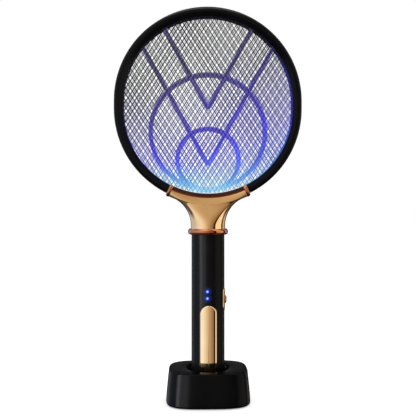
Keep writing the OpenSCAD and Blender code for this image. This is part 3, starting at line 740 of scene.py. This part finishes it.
def collar_band(side):
    angle = NECK_WRAP + math.radians(1.15)
    across = Vector((math.cos(angle), 0, math.sin(angle)))
    outward = Vector((math.sin(angle), 0, -math.cos(angle)))
    centre = Vector((0, 0, ARC_Z))
    stations = 72
    section = [2 * math.pi * j / 16 for j in range(16)]
    rings = []
    for i in range(stations + 1):
        a = BAND_END * (2 * i / stations - 1)
        r, y = band_point(a)
        ahead, behind = band_point(a + 0.01), band_point(a - 0.01)
        run = Vector((ahead[0] - behind[0], ahead[1] - behind[1])).normalized()
        normal = outward * run[1] + Vector((0, -run[0], 0))
        from_end = min(i, stations - i) / 5
        ball = math.sqrt(max(0.02, 1 - (1 - min(1, from_end)) ** 2))
        swell = 1 + 0.3 * math.exp(-((from_end - 1) / 0.8) ** 2)
        point = centre + outward * r + Vector((0, y, 0))
        wide = across * BAND_WIDE * ball * swell
        high = normal * BAND_HIGH * ball * swell
        rings.append([tuple(point + wide * math.cos(w) + high * math.sin(w)) for w in section])
    points, faces = loft(rings)
    return [(x * side, y, z) for x, y, z in points], faces


make("collar_band_right", [collar_band(1)], copper_tone, "collar_right", crease=80)
make("collar_band_left", [collar_band(-1)], copper_tone, "collar_left", crease=80)

# %% [markdown]
# ## Press bar, switch and indicator lenses
#
# The long gold pill is the press bar. Its face is crowned like the handle, so it catches a bright
# band and a dark band side by side, and its edge is rounded over. The slide switch is the
# same kind of pill with a slot in it and a ribbed thumb knob. All are lofts of pill outlines whose
# depth follows a cylinder.

# %% Press bar, switch and lenses
def pill(half_w, half_h, marks=(), count=64):
    """(x, z) round a pill outline. Each height in marks gets a point on both straight sides."""
    arc = []
    for i in range(count):
        a = 2 * math.pi * (i + 0.5) / count
        z = half_w * math.sin(a) + math.copysign(half_h - half_w, math.sin(a))
        arc.append((half_w * math.cos(a), z))
    down = [(-half_w, z) for z in sorted(marks, reverse=True)]
    rise = [(half_w, z) for z in sorted(marks)]
    return arc[:count // 2] + down + arc[count // 2:] + rise


def crowned(outline, z0, radius, drop=0.0):
    """An outline laid on an upright cylinder, drop below its surface."""
    return [(x, drop - math.sqrt(radius * radius - x * x), z0 + z) for x, z in outline]


BAR_Z, BAR_W, BAR_H, BAR_EDGE = 67.0, 9.0, 40.5, 1.1
BAR_FACE_R = HANDLE_R + 1.6
TAPER_Z, TAPER = 45.4, math.tan(math.radians(10))


def bar_ring(inset, drop=0.0):
    """The bar's outline at an inset, on its crowned face. Below TAPER_Z the face leans in, so that
    the bar's foot clears the dock's funnel."""
    marks = [TAPER_Z - BAR_Z + step for step in (0.5, 0.1, -0.1, -0.5)]
    ring = crowned(pill(BAR_W - inset, BAR_H - inset, marks), BAR_Z, BAR_FACE_R, drop)
    return [(x, y + TAPER * max(0.0, TAPER_Z - z), z) for x, y, z in ring]


FLANGE_W, FLANGE_H = BAR_W + 1.1, BAR_H + 1.0
FLANGE_BACK, FLANGE_FRONT = -11.2, -12.2
bar = []
for half_w, half_h, y in (
    (FLANGE_W, FLANGE_H, FLANGE_BACK), (FLANGE_W, FLANGE_H, FLANGE_FRONT), (BAR_W, BAR_H, FLANGE_FRONT)
):
    bar.append([(x, y, BAR_Z + z) for x, z in pill(half_w, half_h, (1.0, 0.5, -0.5, -1.0))])
for f in range(9):
    a = math.pi / 2 * f / 8
    bar.append(bar_ring(BAR_EDGE * (1 - math.cos(a)), BAR_EDGE * (1 - math.sin(a))))
bar += [bar_ring(inset) for inset in (2, 3, 4.2, 5.4, 6.6, 7.8, 8.8)]
make("press_bar", [loft(bar)], champagne, "zap_button")

SWITCH_Z = 113.0
SWITCH_TURN = Matrix.Rotation(math.radians(75), 4, "Z")
FACE_R, BACK_R = HANDLE_R + 0.8, HANDLE_R - 1.8
FRAME_W, FRAME_H, FRAME_EDGE = 4.2, 12.0, 0.5
SLOT_W, SLOT_H, SLOT_EDGE = 2.3, 7.6, 0.4
bevel = [math.pi / 2 * f / 5 for f in range(6)]
bezel = [crowned(pill(FRAME_W, FRAME_H), SWITCH_Z, BACK_R)]
for a in bevel:
    inset, drop = FRAME_EDGE * (1 - math.cos(a)), FRAME_EDGE * (1 - math.sin(a))
    bezel.append(crowned(pill(FRAME_W - inset, FRAME_H - inset), SWITCH_Z, FACE_R, drop))
for a in reversed(bevel):
    inset, drop = SLOT_EDGE * (1 - math.cos(a)), SLOT_EDGE * (1 - math.sin(a))
    bezel.append(crowned(pill(SLOT_W + inset, SLOT_H + inset), SWITCH_Z, FACE_R, drop))
bezel.append(crowned(pill(SLOT_W, SLOT_H), SWITCH_Z, BACK_R))
make("switch_surround", [moved(loft(bezel, wrap=True), SWITCH_TURN)], rose_gold, "switch_bezel")

KNOB_STEPS, KNOB_HALF_H, KNOB_HALF_W = 56, 4.2, 3.0
RIB_PITCH, RIB_DEPTH = 1.5, 0.22
knob = []
for k in range(KNOB_STEPS + 1):
    z = KNOB_HALF_H * math.sin(math.pi / 2 * (2 * k / KNOB_STEPS - 1))
    over = max(0.0, abs(z) - (KNOB_HALF_H - KNOB_HALF_W))
    half = max(0.05, math.sqrt(max(0.0, KNOB_HALF_W ** 2 - over * over)))
    rib = RIB_DEPTH * (1 - math.cos(2 * math.pi * z / RIB_PITCH)) / 2 * (abs(z) < KNOB_HALF_W)
    edge = min(0.5, half * 0.5)
    face = -HANDLE_R - 2.3 + rib + 0.5 * max(0.0, abs(z) - 3.2)
    back = -HANDLE_R - 1.1
    right = [(half, back), (half, face + edge)]
    right += [(half - 0.3 * edge, face + 0.3 * edge), (half - edge, face)]
    left = [(-x, y) for x, y in reversed(right)]
    knob.append([(x, y, SWITCH_Z + z) for x, y in left[-1:] + right + left[:-1]])


def block(low, high):
    """A stem with square corners, inside the handle."""
    x0, y0, z0 = low
    x1, y1, z1 = high
    return loft([[(x0, y0, z), (x1, y0, z), (x1, y1, z), (x0, y1, z)] for z in (z0, z1)])


stem = block((-1.9, -HANDLE_R - 1.2, SWITCH_Z - 3), (1.9, -HANDLE_R + 3, SWITCH_Z + 3))
slider = block((-0.8, -HANDLE_R + 3, SWITCH_Z - 1.5), (0.8, -HANDLE_R + 5.6, SWITCH_Z + 1.5))
make("switch_thumb", [moved(p, SWITCH_TURN) for p in (loft(knob), stem, slider)], copper_tone,
     "switch_knob")

LENS_R, LENS_BACK, LENS_SEAT = 1.55, 14.6, HANDLE_R - 0.05
DOME_R, DOME_H = 1.5, 0.3
lens_profile = [(LENS_R, LENS_BACK), (LENS_R, LENS_SEAT)]
for f in range(8):
    a = math.pi / 2 * f / 8
    lens_profile.append((DOME_R * math.cos(a), LENS_SEAT + DOME_H * math.sin(a)))
to_front = Matrix.Rotation(math.radians(90), 4, "X")
lenses = [moved(revolve(lens_profile, 32), Matrix.Translation((LED_X, 0, z)) @ to_front) for z in LED_ZS]
make("indicator_domes", lenses, led_lens, "indicator_lenses", crease=60)

# %% [markdown]
# ## The dock
#
# A block with a rounded-rectangle outline that narrows a little towards the top, and a glossy deck
# dropped into it with a fine gap all round. The deck dips into a funnel that guides the handle down
# to the charging pins. Both are lofts of superellipse outlines. The edges are rolled over, as a plain
# moulded edge would look cut. The USB opening is cut through the rear wall afterwards.

# %% Dock housing and deck
DOCK_POWER = 3.4
FOOT_Z, SHOULDER_Z, DOCK_TAPER = 0.8, 34.8, 2.8
EDGE_H = 2.2  # height of the rolled edges


def squircle(z, inset, count=192):
    """A superellipse as wide and deep as the dock, less an inset, at height z."""
    a, b = DOCK_HALF_W - inset, DOCK_HALF_D - inset
    out = []
    for i in range(count):
        t = 2 * math.pi * i / count
        c, s = math.cos(t), math.sin(t)
        out.append((a * math.copysign(abs(c) ** (2 / DOCK_POWER), c),
                    b * math.copysign(abs(s) ** (2 / DOCK_POWER), s), z))
    return out


def circle(z, radius, count=192):
    turns = [2 * math.pi * i / count for i in range(count)]
    return [(radius * math.cos(t), radius * math.sin(t), z) for t in turns]


round_over = [math.pi / 2 * k / 8 for k in range(9)]
foot = [squircle(FOOT_Z + EDGE_H * (1 - math.cos(a)), 1 - math.sin(a)) for a in round_over]
wall = []
for f in (0.1, 0.2, 0.35, 0.5, 0.7, 0.85, 1.0):
    z = FOOT_Z + EDGE_H + (SHOULDER_Z - FOOT_Z - EDGE_H) * f
    wall.append(squircle(z, DOCK_TAPER * f ** 1.3))
roll = []
for a in round_over[1:]:
    roll.append(squircle(SHOULDER_Z + EDGE_H * math.sin(a), DOCK_TAPER + 2.0 * (1 - math.cos(a))))
lip = [squircle(DOCK_TOP, 5.7), squircle(DOCK_TOP - 0.2, 5.9), squircle(DOCK_TOP - 2.7, 5.9)]
hollow = [squircle(DOCK_TOP - 2.7, 5.6), squircle(4.5, 2.4), squircle(FOOT_Z, 4)]
housing = make("dock_shell", [loft(foot + wall + roll + lip + hollow, wrap=True)], gloss_abs,
               "dock_housing", crease=45)

PORT_Z = 6.8
cutter_data = bpy.data.meshes.new("usb_cutter")
port = [[(x, y, PORT_Z + z) for z, x in pill(2.0, 5.0)] for y in (DOCK_HALF_D - 7, DOCK_HALF_D + 2)]
port_points, port_faces = loft(port)
cutter_data.from_pydata([Vector(point) * MM for point in port_points], [], port_faces)
cutter = bpy.data.objects.new("usb_cutter", cutter_data)
bpy.context.scene.collection.objects.link(cutter)
cut = housing.modifiers.new("usb_opening", "BOOLEAN")
cut.object, cut.operation, cut.solver = cutter, "DIFFERENCE", "EXACT"
bpy.context.view_layer.update()
evaluated = housing.evaluated_get(bpy.context.evaluated_depsgraph_get())
shaped = bpy.data.meshes.new_from_object(evaluated)
housing.modifiers.clear()
housing.data = shaped
bpy.data.objects.remove(cutter)
print("dock shell after the cut:", len(shaped.polygons), "faces")

WELL_R, SOCKET_R = HANDLE_R + 2.3, HANDLE_R + 0.5
SOCKET_FLOOR, FUNNEL_Z = 12, 25
COLUMNS = [(28 * side, 17 * end) for side in (-1, 1) for end in (-1, 1)]
deck = [circle(10, WELL_R + 2.2), circle(DOCK_TOP - 2.6, WELL_R + 2.2), squircle(DOCK_TOP - 2.6, 6)]
deck += [squircle(DOCK_TOP - 0.3, 6), squircle(DOCK_TOP - 0.08, 6.08), squircle(DOCK_TOP, 6.3)]
deck += [circle(DOCK_TOP, WELL_R + 4.2), circle(DOCK_TOP - 0.15, WELL_R + 3.7)]
deck += [circle(DOCK_TOP - 3, WELL_R + 0.1), circle(DOCK_TOP - 3.3, WELL_R), circle(FUNNEL_Z, WELL_R)]
deck += [circle(FUNNEL_Z, SOCKET_R), circle(SOCKET_FLOOR, SOCKET_R)]
post = revolve([(3.2, 3.05), (3.2, DOCK_TOP - 2.6)], 32)
posts = [moved(post, Matrix.Translation((x, y, 0))) for x, y in COLUMNS]
make("dock_top", [loft(deck)] + posts, gloss_abs, "dock_deck", crease=30)

# %% [markdown]
# ## Screws
#
# Five cross-head screws hold the ring, two the handle and four the dock's base plate. Each head is a
# shallow dome with a cross-shaped recess that is really sunk, made as one loft: up the rim, over the
# dome, then along the cross outline and down into it.

# %% Cross-head screws
def cross_outline(arm, width, turn):
    """Radius of a plus sign's outline in the direction turn."""
    c, s = abs(math.cos(turn)) + 1e-6, abs(math.sin(turn)) + 1e-6
    return max(min(arm / c, width / s), min(width / c, arm / s))


def cross_screw(head_r, head_h, shank_r, shank_len):
    """A screw with its seat at z 0, its head above and its shank below."""
    turns = [2 * math.pi * i / 48 for i in range(48)]
    sizes = [(shank_r * 0.7, -shank_len), (shank_r, -shank_len * 0.9), (shank_r, 0), (head_r, 0),
             (head_r, head_h * 0.45), (head_r * 0.93, head_h * 0.75), (head_r * 0.76, head_h)]
    rings = [[(r * math.cos(t), r * math.sin(t), z) for t in turns] for r, z in sizes]
    cross = [cross_outline(head_r * 0.62, head_r * 0.17, t) for t in turns]
    for z, shrink in ((head_h, 1.0), (head_h * 0.3, 0.8)):
        recess = [(shrink * r, t) for r, t in zip(cross, turns)]
        rings.append([(r * math.cos(t), r * math.sin(t), z) for r, t in recess])
    return loft(rings)


to_rear = Matrix.Rotation(math.radians(-90), 4, "X")
BOSS_RING_R = (INNER_R + 4.2 + RING_R - 1.7) / 2
ring_screws = []
for degrees in (30, 90, 150, 210, 330):
    a = math.radians(degrees)
    x = BOSS_RING_R * math.cos(a)
    z = BOSS_RING_R * math.sin(a) + math.copysign(RING_STRAIGHT / 2, math.sin(a))
    seat = Matrix.Translation((x, RING_HALF - 1.6, HEAD_Z + z)) @ Matrix.Rotation(a, 4, "Y")
    screw = cross_screw(head_r=1.9, head_h=1.4, shank_r=1.0, shank_len=12)
    ring_screws.append(moved(screw, seat @ to_rear))
make("ring_screws", ring_screws, zinc_steel, "head_screws")
grip_screw = moved(cross_screw(head_r=2.5, head_h=1.6, shank_r=1.4, shank_len=22), to_rear)
grip_screws = [moved(grip_screw, Matrix.Translation((0, 12, z))) for z in (21.5, 172)]
make("grip_screws", grip_screws, zinc_steel, "handle_screws")
to_floor = Matrix.Rotation(math.radians(180), 4, "X")
plate_screw = moved(cross_screw(head_r=2.4, head_h=0.9, shank_r=1.05, shank_len=8.7), to_floor)
plate_screws = [moved(plate_screw, Matrix.Translation((x, y, 2.1))) for x, y in COLUMNS]
make("plate_screws", plate_screws, zinc_steel, "dock_screws")

# %% [markdown]
# ## Studio
#
# A plain pale floor and soft light. The world is even white to the eye and to matt surfaces. In
# reflections it is the studio round the table: a large cool card on the left, a warm dim wall in
# front, a lit strip between black flags on the right. A studio for plated goods is set up this way,
# so that black plastic stays black and gold gets crisp bright and dark bands. Real cards and flags
# in the scene would also change the even light on the floor, so they are drawn in the world. Three
# soft boxes add the long highlights on the black plastics. They skip the plated parts, which would
# mirror them as burnt-out stripes.

# %% Floor, world and lights
def make_floor():
    mesh = bmesh.new()
    bmesh.ops.create_grid(mesh, x_segments=8, y_segments=8, size=6)
    data = bpy.data.meshes.new("floor")
    mesh.to_mesh(data)
    mesh.free()
    floor = bpy.data.objects.new("floor", data)
    bpy.context.scene.collection.objects.link(floor)
    material, tree, shader = start_material("paper_backdrop", Base_Color=srgb("fbfbfb"), Roughness=0.9)
    shader.inputs["Emission Color"].default_value = (1, 1, 1, 1)
    shader.inputs["Emission Strength"].default_value = 0.35
    grain(tree, shader, 1 / (5 / 3 * MM), rough=0.9, swing=0.05, bump=0.02, depth=0.1 * MM)
    dress(floor, material)
    floor.visible_glossy = False
    floor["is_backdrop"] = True


# Brightness from straight down (0) over level (0.5) to straight up (1).
FLOOR_TO_CEILING = [(0.0, 0.1), (0.3, 0.15), (0.38, 0.95), (0.88, 1), (0.95, 2.2), (1.0, 2.6)]
# Direction round the table in degrees (0 is in front, positive to the right), brightness and tint.
ROUND_THE_TABLE = [
    (-180, 0.12, "ffffff"), (-171, 0.12, "ffffff"), (-169, 0.02, "ffffff"), (-156, 0.02, "ffffff"),
    (-150, 0.9, "f0f6ff"), (-100, 1.2, "e8f0ff"), (-64, 1.85, "dce8ff"), (-42, 1.8, "e4ecff"),
    (-24, 1.35, "f6f6f8"), (-8, 1.0, "fff2e0"), (6, 0.76, "ffe6cc"), (22, 0.52, "ffdcbe"),
    (34, 0.38, "ffd2b0"), (37, 0.02, "ffffff"), (47, 0.02, "ffffff"), (50, 1.6, "fff6ea"),
    (96, 1.6, "fff6ea"), (99, 0.02, "ffffff"), (112, 0.02, "ffffff"), (115, 0.8, "fff6ea"),
    (140, 0.8, "fff6ea"), (144, 0.02, "ffffff"), (169, 0.02, "ffffff"), (171, 0.12, "ffffff"),
    (180, 0.12, "ffffff"),
]


def grey(level):
    return (level, level, level, 1)


def make_world():
    """Even white for everything but mirror reflections, which see the cards and flags."""
    world = bpy.data.worlds.new("studio")
    bpy.context.scene.world = world
    world.use_nodes = True
    tree = world.node_tree
    tree.nodes.clear()
    world.cycles.sampling_method = "NONE"
    white = add(tree, "ShaderNodeBackground", in_Color=grey(1), in_Strength=1.0)
    place = add(tree, "ShaderNodeTexCoord")
    parts = add(tree, "ShaderNodeSeparateXYZ", {"Vector": place.outputs["Generated"]})
    ahead = add(tree, "ShaderNodeMath", {0: parts.outputs["Y"]}, operation="MULTIPLY", in_1=-1.0)
    turn = add(tree, "ShaderNodeMath", {0: parts.outputs["X"], 1: ahead.outputs[0]}, operation="ARCTAN2")
    around = add(tree, "ShaderNodeMapRange", {"Value": turn.outputs[0]}, in_1=-math.pi, in_2=math.pi)
    cards = add(tree, "ShaderNodeValToRGB", {"Fac": around.outputs[0]})
    stops(cards, [
        ((degrees + 180) / 360, tuple(level * c for c in srgb(tint)[:3]) + (1.0,))
        for degrees, level, tint in ROUND_THE_TABLE
    ])
    up = add(tree, "ShaderNodeMapRange", {"Value": parts.outputs["Z"]}, in_1=-1.0, in_2=1.0)
    rise = add(tree, "ShaderNodeValToRGB", {"Fac": up.outputs[0]})
    stops(rise, [(height, grey(level)) for height, level in FLOOR_TO_CEILING])
    studio = add(tree, "ShaderNodeBackground", {"Color": cards.outputs[0], "Strength": rise.outputs[0]})
    path = add(tree, "ShaderNodeLightPath")
    mix = add(tree, "ShaderNodeMixShader",
              {"Fac": path.outputs["Is Glossy Ray"], 1: white.outputs[0], 2: studio.outputs[0]})
    add(tree, "ShaderNodeOutputWorld", {"Surface": mix.outputs[0]})


def soft_box(name, azimuth, height, distance, width, tall, power):
    """A rectangular light round the object at azimuth degrees (0 is in front, positive to the right)."""
    data = bpy.data.lights.new(name, "AREA")
    data.shape = "RECTANGLE"
    data.size, data.size_y = width, tall
    data.energy = power
    lamp = bpy.data.objects.new(name, data)
    bpy.context.scene.collection.objects.link(lamp)
    a = math.radians(azimuth)
    lamp.location = (distance * math.sin(a), -distance * math.cos(a), height)
    aim = Vector((0, 0, 0.2)) - lamp.location
    lamp.rotation_euler = aim.to_track_quat("-Z", "Y").to_euler()
    return lamp


def only_for(lamp, *families):
    """Lets a lamp light only the pieces whose material's name starts with one of families."""
    group = bpy.data.collections.new(lamp.name + "_receivers")
    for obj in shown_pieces():
        if obj.data.materials and obj.data.materials[0].name.startswith(families):
            group.objects.link(obj)
    lamp.light_linking.receiver_collection = group


make_floor()
make_world()
TUBE_AND_DOCK = ("abs_black_blasted", "abs_black_polished")
key_left = soft_box("key_left", -54, height=0.3, distance=1.3, width=0.36, tall=1.6, power=26)
only_for(key_left, *TUBE_AND_DOCK)
key_wide = soft_box("key_wide", -34, height=0.3, distance=1.3, width=0.8, tall=1.6, power=19)
only_for(key_wide, *TUBE_AND_DOCK)
top_box = soft_box("top", 0, height=1.5, distance=0.3, width=0.8, tall=0.5, power=20)
only_for(top_box, "abs_black_semi")
bpy.context.scene.view_settings.view_transform = "Standard"
